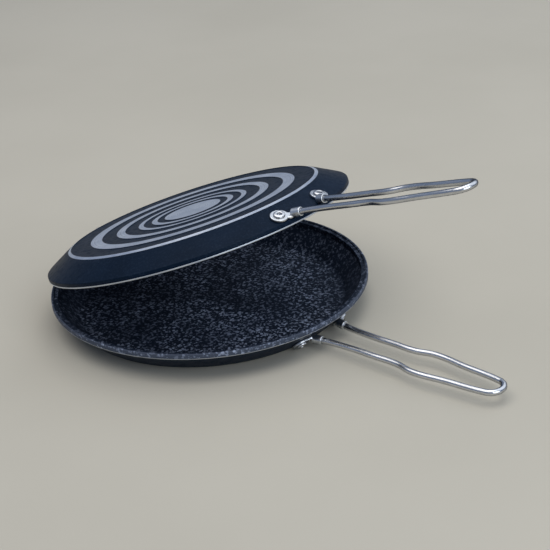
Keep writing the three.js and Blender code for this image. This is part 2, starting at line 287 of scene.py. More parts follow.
def pan_coordinates(tree, place):
    """Object coordinates turned back into a pan's own upright frame."""
    coordinates = tree.nodes.new('ShaderNodeTexCoord')
    mapping = tree.nodes.new('ShaderNodeMapping')
    mapping.vector_type = 'TEXTURE'
    mapping.inputs['Location'].default_value = place.to_translation()
    mapping.inputs['Rotation'].default_value = place.to_euler()
    tree.links.new(coordinates.outputs['Object'], mapping.inputs['Vector'])
    return mapping.outputs['Vector']


# Granite specks: dots of uneven size, thick in some patches and thin in others. The four numbers of a fade
# are its two limits and the values at them.
dot_limits = (-0.02, 0.1)
patch_detail = 3
patch_fade = (0.35, 0.62, 0.35, 1.0)
specks_group, specks_in, specks_out = new_group(
    'granite_specks',
    [
        ('Vector', 'NodeSocketVector', None),
        ('Scale', 'NodeSocketFloat', 500.0),
        ('Dot size', 'NodeSocketFloat', 0.45),
        ('Patch scale', 'NodeSocketFloat', 40.0),
    ],
    ['Specks'])
dots = specks_group.nodes.new('ShaderNodeTexVoronoi')
specks_group.links.new(specks_in.outputs['Vector'], dots.inputs['Vector'])
specks_group.links.new(specks_in.outputs['Scale'], dots.inputs['Scale'])
uneven = specks_group.nodes.new('ShaderNodeSeparateColor')
specks_group.links.new(dots.outputs['Color'], uneven.inputs['Color'])
reach = calc(specks_group, 'MULTIPLY', specks_in.outputs['Dot size'], uneven.outputs[0])
inside = calc(specks_group, 'SUBTRACT', reach, dots.outputs['Distance'])
dot = graded(specks_group, inside, *dot_limits)
patches = specks_group.nodes.new('ShaderNodeTexNoise')
specks_group.links.new(specks_in.outputs['Vector'], patches.inputs['Vector'])
specks_group.links.new(specks_in.outputs['Patch scale'], patches.inputs['Scale'])
patches.inputs['Detail'].default_value = patch_detail
thick = graded(specks_group, patches.outputs[0], *patch_fade)
specks_group.links.new(calc(specks_group, 'MULTIPLY', dot, thick), specks_out.inputs['Specks'])

# Turning marks: fine uneven rings about a pan's middle, and the distance from it
marks_detail = 3
marks_group, marks_in, marks_out = new_group(
    'turning_marks',
    [('Vector', 'NodeSocketVector', None), ('Scale', 'NodeSocketFloat', 900.0)],
    ['Marks', 'Radius'])
level = marks_group.nodes.new('ShaderNodeVectorMath')
level.operation = 'MULTIPLY'
level.inputs[1].default_value = (1, 1, 0)
marks_group.links.new(marks_in.outputs['Vector'], level.inputs[0])
span = marks_group.nodes.new('ShaderNodeVectorMath')
span.operation = 'LENGTH'
marks_group.links.new(level.outputs[0], span.inputs[0])
cuts = marks_group.nodes.new('ShaderNodeTexNoise')
cuts.noise_dimensions = '1D'
cuts.inputs['Detail'].default_value = marks_detail
marks_group.links.new(span.outputs['Value'], cuts.inputs['W'])
marks_group.links.new(marks_in.outputs['Scale'], cuts.inputs['Scale'])
marks_group.links.new(cuts.outputs[0], marks_out.inputs['Marks'])
marks_group.links.new(span.outputs['Value'], marks_out.inputs['Radius'])


def grouped(tree, group, vector, **values):
    """Places a node group in a material with its own values."""
    node = tree.nodes.new('ShaderNodeGroup')
    node.node_tree = group
    tree.links.new(vector, node.inputs['Vector'])
    for label, value in values.items():
        node.inputs[label.replace('_', ' ')].default_value = value
    return node.outputs


navy = (0.0025, 0.007, 0.0165, 1)
navy_speck = (0.011, 0.020, 0.038, 1)
granite_black = (0.006, 0.0095, 0.018, 1)
granite_speck = (0.34, 0.39, 0.51, 1)
speck_patch_scale = 34.0
fine_speck_ratio = 2.1
fine_speck_patch_scale = 60.0
fine_speck_share = 0.3
fleck_ratio = 1.1
fleck_limits = (0.53, 0.66)
wall_begin = (0.110, 0.122)
lip_begin = (0.1386, 0.1394)
lip_haze_share = 0.16
drift_scale = 15.0
drift_fade = (0.36, 0.62, 0.45, 1.0)
cloud_scale = 22.0
cloud_limits = (0.3, 0.7)
cloud_lift = 1.35
scuff_scale = 160.0
scuff_fade = (0.42, 0.75, -0.05, 0.1)
peel_scale = 700.0
speck_relief = 0.35
coat_relief = 0.25
coat_relief_depth = 0.0002
coat_gloss = 0.07
coat_gloss_tint = (0.6, 0.8, 1.0, 1)
glaze_weight = 0.01
glaze_roughness = 0.3


def coat(name, place, colour, speck_colour, speck_scale, dot_size, roughness, fleck_share, wall_share):
    """A baked non-stick coat with specks, fewer on the wall, a slight orange peel and a few scuffs."""
    material, tree, shader = new_material(name)
    vector = pan_coordinates(tree, place)
    coarse = grouped(
        tree, specks_group, vector,
        Scale=speck_scale, Dot_size=dot_size, Patch_scale=speck_patch_scale)['Specks']
    fine = grouped(
        tree, specks_group, vector,
        Scale=speck_scale * fine_speck_ratio, Dot_size=dot_size, Patch_scale=fine_speck_patch_scale)['Specks']
    fleck_noise = noise(tree, vector, speck_scale * fleck_ratio, detail=1.0)
    flecks = graded(tree, fleck_noise, *fleck_limits, 0.0, fleck_share)
    faint = calc(tree, 'MULTIPLY', fine, fine_speck_share)
    specks = calc(tree, 'MAXIMUM', calc(tree, 'MAXIMUM', coarse, flecks), faint)
    radius = grouped(tree, marks_group, vector)['Radius']
    inside_lip = graded(tree, radius, *wall_begin, 1.0, wall_share)
    on_lip = graded(tree, radius, *lip_begin)
    specks = calc(tree, 'MULTIPLY', specks, calc(tree, 'MAXIMUM', inside_lip, on_lip))
    drifts = graded(tree, noise(tree, vector, drift_scale, detail=3.0), *drift_fade)
    specks = calc(tree, 'MULTIPLY', specks, drifts)
    specks = calc(tree, 'MAXIMUM', specks, calc(tree, 'MULTIPLY', on_lip, lip_haze_share))
    clouds = graded(tree, noise(tree, vector, cloud_scale, detail=3.0), *cloud_limits)
    ground = mixed(tree, clouds, colour, [c * cloud_lift for c in colour[:3]] + [1])
    feed(tree, shader.inputs['Base Color'], mixed(tree, specks, ground, speck_colour))
    scuffs = graded(tree, noise(tree, vector, scuff_scale, detail=5.0, roughness=0.7), *scuff_fade)
    feed(tree, shader.inputs['Roughness'], calc(tree, 'ADD', scuffs, roughness))
    peel = noise(tree, vector, peel_scale)
    height = calc(tree, 'ADD', calc(tree, 'MULTIPLY', specks, speck_relief), peel)
    bump(tree, shader, height, coat_relief, coat_relief_depth)
    shader.inputs['Specular IOR Level'].default_value = coat_gloss
    shader.inputs['Specular Tint'].default_value = coat_gloss_tint
    shader.inputs['Coat Weight'].default_value = glaze_weight
    shader.inputs['Coat Roughness'].default_value = glaze_roughness
    return material


bright_aluminium = (0.86, 0.90, 0.96, 1)
hazy_aluminium = (0.62, 0.68, 0.77, 1)
cut_aluminium = (0.45, 0.48, 0.54, 1)
lathe_scale = 1100.0
haze_scale = 45.0
haze_limits = (0.3, 0.7)
lathe_colour_fade = (0.35, 0.65, 0.0, 0.5)
lathe_roughness_fade = (0.3, 0.7, 0.34, 0.5)
lathe_relief = 0.3
lathe_relief_depth = 0.0001


def bare_metal(name, place):
    """Aluminium left bare by the lathe, with its turning marks and a thin haze."""
    material, tree, shader = new_material(name)
    vector = pan_coordinates(tree, place)
    marks = grouped(tree, marks_group, vector, Scale=lathe_scale)['Marks']
    haze = graded(tree, noise(tree, vector, haze_scale, detail=4.0, roughness=0.6), *haze_limits)
    ground = mixed(tree, haze, hazy_aluminium, bright_aluminium)
    lines = graded(tree, marks, *lathe_colour_fade)
    feed(tree, shader.inputs['Base Color'], mixed(tree, lines, ground, cut_aluminium))
    shader.inputs['Metallic'].default_value = 1
    feed(tree, shader.inputs['Roughness'], graded(tree, marks, *lathe_roughness_fade))
    bump(tree, shader, marks, lathe_relief, lathe_relief_depth)
    return material


edge_face_height = 0.0008
rim_face_width = 0.0008
lip_face_width = 0.0003
floor_face_slack = 0.0001
facing_up = 0.1
facing_in = -0.5
facing_out = 0.9
outer_index, granite_index, bare_index = range(3)


def finish_dish(piece, pan, place, names):
    """Lays the outer coat, the granite coat and the bare metal on a pan's faces, found by their place."""
    outer_coat = coat(
        names + '_outer_coat', place, navy, navy_speck,
        speck_scale=520.0, dot_size=0.34, roughness=0.46, fleck_share=0.8, wall_share=1.0)
    granite_coat = coat(
        names + '_granite_coat', place, granite_black, granite_speck,
        speck_scale=310.0, dot_size=0.5, roughness=0.5, fleck_share=0.6, wall_share=0.4)
    for material in (outer_coat, granite_coat, bare_metal(names + '_bare_metal', place)):
        piece.data.materials.append(material)
    rings = [(inner * pan['base'], outer * pan['base']) for inner, outer in bare_ring_shares]
    for face in piece.data.polygons:
        middle, normal = face.center, face.normal
        radius = math.hypot(middle.x, middle.y)
        outward = (normal.x * middle.x + normal.y * middle.y) / max(radius, same_place)
        on_ring = middle.z < groove_depth / 2 and any(
            inner - groove_slope < radius < outer + groove_slope for inner, outer in rings)
        on_bevel = normal.z < 0 and 0 < radius - pan['base'] + bevel_width < bevel_width * bare_bevel_share
        under_lip = abs(middle.z - pan['depth'] + lip_height) < edge_face_height
        lip_edge = under_lip and radius > pan['radius'] - lip_step
        rim_edge = radius > pan['radius'] - rim_face_width and middle.z > pan['depth'] - bare_edge
        turned_in = normal.z > facing_up or outward < facing_in
        inside = middle.z > floor_thickness - floor_face_slack and turned_in
        lip = pan['seat'] and outward > facing_out and radius > pan['radius'] - lip_face_width
        if on_ring or on_bevel or (lip_edge and pan['seat']) or (rim_edge and not pan['seat']):
            face.material_index = bare_index
        elif inside or lip:
            face.material_index = granite_index
        else:
            face.material_index = outer_index


def dish(name, pan):
    """A pan's dish, upright, with its sharp edges rounded."""
    piece = turned(name, dish_outline(pan), pan_divisions)
    radius, depth = pan['radius'], pan['depth']
    round_rings(piece, [tuple(pan['foot'])], heel_rounding, steps=4)
    round_rings(piece, [(radius, depth - rim_chamfer), (radius - rim_chamfer, depth)], rim_rounding, steps=2)
    lip_rings = [(radius, depth - lip_height + rim_chamfer), tuple(pan['top'])]
    round_rings(piece, lip_rings, lip_rounding, steps=3)
    return piece


upright = Matrix.Identity(4)
lower_pan = pan_sizes(rim_radius, lower_base_radius, lower_depth, lower_handle_drop, seat=True)
lower_dish = dish('lower_dish', lower_pan)
finish_dish(lower_dish, lower_pan, upright, 'lower')
smooth(lower_dish, pan_sharp_angle)
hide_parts('lower_pan')
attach(lower_dish, 'lower')


# Upper pan
# The same kind of dish, shallower and a little smaller, turned over so that its rim drops on the lower pan's
# ledge. Its rings face up, its rim's outer edge is bare, and it stands open about the hinge pin.

hinge = frame['joints'][0]
hinge_place = Vector(hinge['pos_m'])
open_angle = math.radians(-hinge['range_deg'][0])
nest_clearance = 0.0006
seat_clearance = 0.0003
upper_base_radius = 0.1155
upper_depth = 0.018
upper_handle_drop = 0.009
upper_pin_height = upper_depth - seat_depth + seat_clearance

upper_place = (
    Matrix.Translation(hinge_place)
    @ Matrix.Rotation(-open_angle, 4, 'Y')
    @ Matrix.Translation((-hinge_place.x, 0, upper_pin_height))
    @ Matrix.Rotation(math.pi, 4, 'X')
)
upper_rim_radius = rim_radius - rim_land - nest_clearance
upper_pan = pan_sizes(upper_rim_radius, upper_base_radius, upper_depth, upper_handle_drop, seat=False)
upper_dish = dish('upper_dish', upper_pan)
finish_dish(upper_dish, upper_pan, upper_place, 'upper')
smooth(upper_dish, pan_sharp_angle)
put(upper_dish, upper_place)
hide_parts('upper_pan')
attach(upper_dish, 'upper')


# Handle wires
# Each handle is one length of 5 mm stainless steel wire, bent to a long loop with a waist before the grip,
# and polished. Its two ends are pressed into the sockets of the lugs.

wire_radius = 0.0025
lug_spacing = 0.050
lug_splay = 0.009
lug_thickness = 0.002
rest_gap = 0.0003
socket_radius = 0.0038
socket_seat_share = 0.5
loop_half_width = 0.0105
stem_half_width = 0.0125
waist_half_width = 0.016
stem_start = 0.168
waist_start = 0.213
waist_end = 0.229
handle_tip = 0.304
bend_share = 0.4
tip_steps = 6
wire_steps = 14
wire_roundness = 5
steel_sharp_angle = 40


def wire_start(pan):
    """Where the wire's end lies over the wall, as radius and height."""
    stand_off = rest_gap + lug_thickness + socket_radius * socket_seat_share
    run = (pan['wire_level'] - pan['foot'].y) / pan['along'].y
    return Vector((pan['foot'].x + run * pan['along'].x + stand_off / pan['along'].y, pan['wire_level']))


def wire_route(pan):
    """One side of the loop from its end to its tip, then the other side back."""
    end_half_width = lug_spacing / 2 - lug_splay
    end = math.sqrt(wire_start(pan).x ** 2 - end_half_width ** 2)
    bend_half_width = stem_half_width + (end_half_width - stem_half_width) * bend_share
    arc_centre = handle_tip - wire_radius - loop_half_width
    side = [
        (end, end_half_width),
        (end + (stem_start - end) * bend_share, bend_half_width),
        (stem_start, stem_half_width),
        ((stem_start + waist_start) / 2, stem_half_width),
        (waist_start, stem_half_width),
        (waist_end, waist_half_width),
        ((waist_end + arc_centre) / 2, (waist_half_width + loop_half_width) / 2),
    ]
    arc = []
    for step in range(tip_steps + 1):
        angle = math.pi / 2 - math.pi * step / tip_steps
        arc.append((arc_centre + loop_half_width * math.cos(angle), loop_half_width * math.sin(angle)))
    return side + arc + [(x, -y) for x, y in reversed(side)]


# Drawn lines: faint scratches left along the wire by polishing
along_wire = (40, 900, 900)
drawn_group, drawn_in, drawn_out = new_group(
    'drawn_lines',
    [('Vector', 'NodeSocketVector', None), ('Stretch', 'NodeSocketVector', along_wire)],
    ['Lines'])
stretch = drawn_group.nodes.new('ShaderNodeVectorMath')
stretch.operation = 'MULTIPLY'
drawn_group.links.new(drawn_in.outputs['Vector'], stretch.inputs[0])
drawn_group.links.new(drawn_in.outputs['Stretch'], stretch.inputs[1])
drawn_noise = noise(drawn_group, stretch.outputs[0], 1.0, detail=3.0, roughness=0.6)
drawn_group.links.new(drawn_noise, drawn_out.inputs['Lines'])

steel_haze_scale = 60.0
steel_haze_limits = (0.35, 0.7)
haze_dulls_to = 0.86
haze_roughness = 0.06
line_fade = (0.35, 0.7, 0.0, 0.1)
line_relief = 0.05
line_relief_depth = 0.00003
steel_edge_tint = (0.05, 0.06, 0.08, 1)


def steel(name, place, colour, roughness, stretch_values):
    """Stainless steel with faint drawn lines and finger haze, darker where it is seen edge on."""
    material, tree, shader = new_material(name)
    vector = pan_coordinates(tree, place)
    lines = grouped(tree, drawn_group, vector, Stretch=stretch_values)['Lines']
    haze_noise = noise(tree, vector, steel_haze_scale, detail=4.0, roughness=0.6)
    haze = graded(tree, haze_noise, *steel_haze_limits)
    dull = [c * haze_dulls_to for c in colour[:3]] + [1]
    feed(tree, shader.inputs['Base Color'], mixed(tree, haze, colour, dull))
    shader.inputs['Metallic'].default_value = 1
    shader.inputs['Specular Tint'].default_value = steel_edge_tint
    rough = calc(tree, 'ADD', graded(tree, lines, *line_fade), calc(tree, 'MULTIPLY', haze, haze_roughness))
    feed(tree, shader.inputs['Roughness'], calc(tree, 'ADD', rough, roughness))
    bump(tree, shader, lines, line_relief, line_relief_depth)
    return material


polished = (0.66, 0.67, 0.69, 1)
polished_roughness = 0.17
wire_steel = {
    'lower': steel('lower_wire_steel', upright, polished, polished_roughness, along_wire),
    'upper': steel('upper_wire_steel', upper_place, polished, polished_roughness, along_wire),
}


def handle_wire(name, pan, place, body):
    """One handle, as a curve with a round section that is then made a mesh."""
    bpy.ops.curve.primitive_bezier_curve_add(location=(0, 0, 0))
    wire = bpy.context.object
    wire.name = name
    route = wire_route(pan)
    bends = wire.data.splines[0].bezier_points
    bends.add(len(route) - 2)
    for bend, (x, y) in zip(bends, route):
        bend.co = (x, y, pan['wire_level'])
        bend.handle_left_type = bend.handle_right_type = 'AUTO'
    wire.data.resolution_u = wire_steps
    wire.data.bevel_depth = wire_radius
    wire.data.bevel_resolution = wire_roundness
    wire.data.use_fill_caps = True
    bpy.ops.object.convert(target='MESH')
    wire = bpy.context.object
    bpy.ops.object.mode_set(mode='EDIT')
    bpy.ops.mesh.select_all(action='SELECT')
    bpy.ops.mesh.remove_doubles(threshold=merge_distance)
    bpy.ops.mesh.normals_make_consistent(inside=False)
    bpy.ops.object.mode_set(mode='OBJECT')
    wire.data.materials.clear()
    wire.data.materials.append(wire_steel[body])
    smooth(wire, steel_sharp_angle)
    put(wire, place)
    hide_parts(body + '_handle_wire')
    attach(wire, body)


handle_wire('lower_handle', lower_pan, upright, 'lower')
handle_wire('upper_handle', upper_pan, upper_place, 'upper')


# Handle lugs
# Four steel lugs hold the wires' ends: a round plate lies on the wall under a rivet, narrows to a neck and
# ends in a socket round the wire. Each is forged in one piece and lightly polished.

lug_reach = 0.007
lug_head_radius = 0.0076
lug_neck_half_width = 0.0034
lug_neck_length = 0.012
socket_length = 0.008
socket_clearance = 0.00025
socket_set_out = 0.0023
socket_dome_share = 0.4
shank_radius = 0.0024
drill_length = 0.012
round_sides = 48


def rivet_point(pan):
    """Radius and height of a handle rivet on the wall's outer face."""
    run = (wire_start(pan) - pan['foot']).dot(pan['along']) - lug_reach
    return pan['foot'] + pan['along'] * run


def on_wall(pan, height, azimuth):
    """Where something sits on the wall: X runs up the wall to the rim, and Z straight out of the wall."""
    along, outward = pan['along'], pan['outward']
    radius = pan['foot'].x + along.x * (height - pan['foot'].y) / along.y
    c, s = math.cos(azimuth), math.sin(azimuth)
    up = Vector((c * along.x, s * along.x, along.y))
    out = Vector((c * outward.x, s * outward.x, outward.y))
    side = out.cross(up)
    place = Matrix((up, side, out)).transposed().to_4x4()
    place.translation = (c * radius, s * radius, height)
    return place


def join(pieces, name):
    """Joins overlapping blanks into one object."""
    bpy.ops.object.select_all(action='DESELECT')
    for piece in pieces:
        piece.select_set(True)
    bpy.context.view_layer.objects.active = pieces[0]
    bpy.ops.object.join()
    pieces[0].name = name
    return pieces[0]


sliver = 0.000004


def cut(piece, tool, operation='DIFFERENCE'):
    """Cuts one solid with another, throws the tool away and closes up slivers along the cut."""
    bpy.context.view_layer.objects.active = piece
    modifier = piece.modifiers.new('cut', 'BOOLEAN')
    modifier.operation = operation
    modifier.solver = 'EXACT'
    modifier.object = tool
    bpy.ops.object.modifier_apply(modifier=modifier.name)
    bpy.data.objects.remove(tool)
    bpy.ops.object.mode_set(mode='EDIT')
    bpy.ops.mesh.select_all(action='SELECT')
    bpy.ops.mesh.remove_doubles(threshold=sliver)
    bpy.ops.mesh.dissolve_degenerate(threshold=sliver)
    bpy.ops.object.mode_set(mode='OBJECT')


def forge(piece, grain, passes):
    """Fuses the joined blanks into one skin and softens its edges and inner corners."""
    bpy.context.view_layer.objects.active = piece
    skin = piece.modifiers.new('skin', 'REMESH')
    skin.mode = 'VOXEL'
    skin.voxel_size = grain
    bpy.ops.object.modifier_apply(modifier=skin.name)
    soften = piece.modifiers.new('soften', 'SMOOTH')
    soften.factor = 0.5
    soften.iterations = passes
    bpy.ops.object.modifier_apply(modifier=soften.name)


def rod(radius, length, place, sides=round_sides):
    """A round bar along Z of a place."""
    bpy.ops.mesh.primitive_cylinder_add(vertices=sides, radius=radius, depth=length)
    return put(bpy.context.object, place)


def off_the_wall(piece, seat):
    """Cuts away what would reach into the wall under a lug."""
    bpy.context.view_layer.objects.active = piece
    bpy.ops.object.mode_set(mode='EDIT')
    bpy.ops.mesh.select_all(action='SELECT')
    under_lug = seat @ Vector((0, 0, rest_gap))
    outward = seat.to_3x3() @ Vector((0, 0, 1))
    bpy.ops.mesh.bisect(plane_co=under_lug, plane_no=outward, use_fill=True, clear_inner=True)
    bpy.ops.object.mode_set(mode='OBJECT')
    return piece


def lug(name, pan):
    """A left lug in the pan's own upright frame."""
    radius, height = rivet_point(pan)
    seat = on_wall(pan, height, math.asin(lug_spacing / 2 / radius))
    route = wire_route(pan)
    end = Vector((*route[0], pan['wire_level']))
    seen = seat.inverted() @ end
    seat = seat @ Matrix.Rotation(math.atan2(seen.y, seen.x), 4, 'Z')
    middle = rest_gap + lug_thickness / 2
    head = rod(lug_head_radius, lug_thickness, seat @ Matrix.Translation((0, 0, middle)))
    neck_run = lug_neck_length - lug_neck_half_width
    bpy.ops.mesh.primitive_cube_add(size=1)
    neck_size = Matrix.Diagonal((neck_run, 2 * lug_neck_half_width, lug_thickness, 1))
    neck = put(bpy.context.object, seat @ Matrix.Translation((neck_run / 2, 0, middle)) @ neck_size)
    neck_end = rod(lug_neck_half_width, lug_thickness, seat @ Matrix.Translation((neck_run, 0, middle)))
    heading = (Vector((*route[1], pan['wire_level'])) - end).normalized()
    at_wire = Matrix.Translation(end) @ heading.to_track_quat('Z', 'Y').to_matrix().to_4x4()
    at_socket = at_wire @ Matrix.Translation((0, 0, socket_set_out))
    socket = off_the_wall(rod(socket_radius, socket_length, at_socket), seat)
    bpy.ops.mesh.primitive_uv_sphere_add(segments=round_sides, ring_count=24, radius=socket_radius)
    at_back = at_wire @ Matrix.Translation((0, 0, socket_set_out - socket_length / 2))
    dome = put(bpy.context.object, at_back @ Matrix.Diagonal((1, 1, socket_dome_share, 1)))
    piece = join([head, neck, neck_end, socket, off_the_wall(dome, seat)], name)
    forge(piece, grain=0.0003, passes=8)
    bore_start = Matrix.Translation((0, 0, socket_length - rest_gap))
    cut(piece, rod(wire_radius + socket_clearance, 2 * socket_length, at_wire @ bore_start))
    cut(piece, rod(shank_radius + rest_gap, drill_length, seat))
    return piece


def copy_of(piece, name):
    """A copy with its own mesh."""
    twin = piece.copy()
    twin.data = piece.data.copy()
    twin.name = name
    bpy.context.collection.objects.link(twin)
    return twin


def mirrored(piece, name):
    """The same piece on the other side of the handle's middle."""
    twin = put(copy_of(piece, name), Matrix.Diagonal((1, -1, 1, 1)))
    bpy.ops.object.mode_set(mode='EDIT')
    bpy.ops.mesh.select_all(action='SELECT')
    bpy.ops.mesh.normals_make_consistent(inside=False)
    bpy.ops.object.mode_set(mode='OBJECT')
    return twin


satin = (0.74, 0.76, 0.78, 1)
satin_roughness = 0.26
satin_stretch = (260, 200, 260)
lug_steel = {
    'lower': steel('lower_lug_steel', upright, satin, satin_roughness, satin_stretch),
    'upper': steel('upper_lug_steel', upper_place, satin, satin_roughness, satin_stretch),
}
for body, pan, place in (('lower', lower_pan, upright), ('upper', upper_pan, upper_place)):
    left = lug(body + '_handle_lug_left', pan)
    right = mirrored(left, body + '_handle_lug_right')
    for piece, side in ((left, 'left'), (right, 'right')):
        piece.data.materials.clear()
        piece.data.materials.append(lug_steel[body])
        smooth(piece, steel_sharp_angle)
        put(piece, place)
        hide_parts(f'{body}_lug_{side}')
        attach(piece, body)


# Hinge leaves
# A steel leaf is riveted to each pan on the side away from the handles. It follows the wall, runs out past
# the lip and ends in knuckles rolled round the pin: two on the lower leaf, one between them on the upper one.

knuckle_radius = 0.0041
centre_knuckle_length = 0.0134
side_knuckle_length = 0.010
knuckle_clearance = 0.0003
pin_radius = 0.0022
pin_clearance = 0.00008
leaf_thickness = 0.0016
leaf_foot = 0.0025
leaf_corner_radius = 0.004
leaf_corner_steps = 8
leaf_half_turn = math.radians(10)
leaf_steps = 32
leaf_rivet_spacing = 0.020
knuckle_bore_length = 0.06
hinge_sides = 64
hinge_radius = -hinge_place.x
side_knuckle_centre = centre_knuckle_length / 2 + knuckle_clearance + side_knuckle_length / 2
leaf_half_width = side_knuckle_centre + side_knuckle_length / 2


def block(low, high):
    """A box from its lowest to its highest corner."""
    bpy.ops.mesh.primitive_cube_add(size=1)
    size = Vector(high) - Vector(low)
    middle = (Vector(high) + Vector(low)) / 2
    return put(bpy.context.object, Matrix.Translation(middle) @ Matrix.Diagonal((*size, 1)))


def knuckle_rod(radius, length, centre, pin_height):
    """A round bar on the hinge's axis."""
    place = Matrix.Translation((-hinge_radius, centre, pin_height)) @ Matrix.Rotation(math.pi / 2, 4, 'X')
    return rod(radius, length, place, hinge_sides)


def leaf_sheet(pan, gap):
    """A strip that follows the cone of the wall, spun about the pan's middle."""
    start = pan['foot'] + pan['along'] * leaf_foot
    end_radius = hinge_radius - pin_radius
    end = start + pan['along'] * (end_radius - start.x) / pan['along'].x
    inner, outer = pan['outward'] * gap, pan['outward'] * (gap + leaf_thickness)
    bpy.ops.mesh.primitive_plane_add(size=1)
    sheet = bpy.context.object
    for vertex, corner in zip(sheet.data.vertices, (start + inner, start + outer, end + inner, end + outer)):
        vertex.co = (-corner.x * math.cos(leaf_half_turn), -corner.x * math.sin(leaf_half_turn), corner.y)
    bpy.ops.object.mode_set(mode='EDIT')
    bpy.ops.mesh.select_all(action='SELECT')
    bpy.ops.mesh.spin(steps=leaf_steps, angle=2 * leaf_half_turn, center=(0, 0, 0), axis=(0, 0, 1))
    bpy.ops.mesh.select_all(action='SELECT')
    bpy.ops.mesh.remove_doubles(threshold=merge_distance)
    bpy.ops.mesh.normals_make_consistent(inside=False)
    bpy.ops.object.mode_set(mode='OBJECT')
    return sheet


def leaf_blank(pan):
    """The leaf's outline from above: square at the pin, rounded at its foot."""
    foot = pan['foot'].x + leaf_foot * pan['along'].x
    low = (-hinge_radius, -leaf_half_width, -pan['depth'])
    high = (-foot, leaf_half_width, 2 * pan['depth'])
    blank = block(low, high)

    def stands_at_foot(one, other):
        return abs(one.z - other.z) > pan['depth'] and one.x > -foot - same_place

    round_edges(blank, stands_at_foot, leaf_corner_radius, leaf_corner_steps)
    return blank


def leaf_rivet_seat(pan, side):
    """Where a hinge rivet sits, half way up the wall."""
    height = (pan['foot'].y + pan['top'].y) / 2
    radius = (pan['foot'].x + pan['top'].x) / 2
    return on_wall(pan, height, math.pi - side * math.asin(leaf_rivet_spacing / 2 / radius))


def hinge_leaf(name, pan, pin_height, knuckles, notches):
    """A leaf in the pan's own upright frame. Knuckles and notches are given as length and middle."""
    gap = rest_gap + lip_step * pan['along'].y
    sheet = leaf_sheet(pan, gap)
    cut(sheet, leaf_blank(pan), 'INTERSECT')
    room = knuckle_radius + 2 * knuckle_clearance
    for length, centre in notches:
        low = (-hinge_radius - room, centre - length / 2, -pan['depth'])
        high = (-hinge_radius + room, centre + length / 2, 3 * pan['depth'])
        cut(sheet, block(low, high))
    rolls = [knuckle_rod(knuckle_radius, length, centre, pin_height) for length, centre in knuckles]
    leaf = join([sheet] + rolls, name)
    forge(leaf, grain=0.00028, passes=5)
    cut(leaf, knuckle_rod(pin_radius + pin_clearance, knuckle_bore_length, 0, pin_height))
    for side in (-1, 1):
        cut(leaf, rod(shank_radius + rest_gap, drill_length, leaf_rivet_seat(pan, side)))
    return leaf


leaf_colour = (0.70, 0.71, 0.73, 1)
leaf_roughness = 0.24
leaf_stretch = (500, 900, 500)
centre_knuckle = [(centre_knuckle_length, 0)]
side_knuckles = [(side_knuckle_length, side_knuckle_centre), (side_knuckle_length, -side_knuckle_centre)]
for body, pan, place, pin_height, own, other in (
    ('lower', lower_pan, upright, hinge_place.z, side_knuckles, centre_knuckle),
    ('upper', upper_pan, upper_place, upper_pin_height, centre_knuckle, side_knuckles),
):
    notches = [(length + 2 * knuckle_clearance, centre) for length, centre in other]
    leaf = hinge_leaf(body + '_leaf', pan, pin_height, own, notches)
    leaf.data.materials.clear()
    leaf.data.materials.append(steel(body + '_leaf_steel', place, leaf_colour, leaf_roughness, leaf_stretch))
    smooth(leaf, steel_sharp_angle)
    put(leaf, place)
    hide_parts(body + '_hinge_leaf')
    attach(leaf, body)


# Rivets
# Eight steel rivets with hollow ends: their shanks go through drilled holes in the walls, and their heads are
# set round outside, with a deep hollow in the middle, and stay low and round inside the pan.

handle_head_radius = 0.0048
leaf_head_radius = 0.0038
head_height = 0.0015
inner_head_height = 0.0012
hollow_radius = 0.0019
hollow_depth = 0.0022
rivet_roughness = 0.26
rivet_stretch = (900, 900, 900)
rivet_sharp_angle = 35

# Heads as shares of their radius and height. The hollow is given as shares of its radius and as depths.
inner_head = ((0.25, 1), (0.5, 0.94), (0.72, 0.8), (0.88, 0.55), (0.97, 0.28), (1, 0))
outer_head = ((1, 0), (1, 0.35), (0.96, 0.62), (0.87, 0.84), (0.75, 0.96), (0.62, 1))
hollow = ((1.25, 0), (1.06, 0.0002), (1, 0.0005), (1, hollow_depth), (0.4, hollow_depth * 1.05))


def rivet(name, plate_top, head_radius):
    """A rivet upright on the wall's outer face, which is at height zero."""
    under = plate_top + rest_gap
    top = under + head_height
    inner = -wall_thickness - rest_gap
    outline = [(head_radius * share, inner - inner_head_height * rise) for share, rise in inner_head]
    outline += [(shank_radius, inner), (shank_radius, under)]
    outline += [(head_radius * share, under + head_height * rise) for share, rise in outer_head]
    outline += [(hollow_radius * share, top - depth) for share, depth in hollow]
    return turned(name, outline, round_sides)


handle_rivet = rivet('handle_rivet', rest_gap + lug_thickness, handle_head_radius)
for body, pan, place, drilled in (
        ('lower', lower_pan, upright, lower_dish), ('upper', upper_pan, upper_place, upper_dish)):
    leaf_top = rest_gap + lip_step * pan['along'].y + leaf_thickness
    leaf_rivet = rivet('leaf_rivet', leaf_top, leaf_head_radius)
    finish = steel(body + '_rivet_steel', place, polished, rivet_roughness, rivet_stretch)
    radius, height = rivet_point(pan)
    for side, word in ((1, 'left'), (-1, 'right')):
        seat = on_wall(pan, height, side * math.asin(lug_spacing / 2 / radius))
        leaf_seat = leaf_rivet_seat(pan, side)
        for model, kind, spot in ((handle_rivet, 'handle', seat), (leaf_rivet, 'hinge', leaf_seat)):
            piece = put(copy_of(model, f'{body}_{kind}_set_rivet_{word}'), place @ spot)
            piece.data.materials.append(finish)
            smooth(piece, rivet_sharp_angle)
            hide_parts(f'{body}_{kind}_rivet_{word}')
            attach(piece, body)
            cut(drilled, rod(shank_radius + rest_gap, drill_length, place @ spot))
    smooth(drilled, pan_sharp_angle)
    bpy.data.objects.remove(leaf_rivet)
bpy.data.objects.remove(handle_rivet)


# Hinge pin and washers
# One steel pin runs through the three knuckles, with a thin steel washer at each end. Both of its ends are
# set to low round heads, which hold it in place.

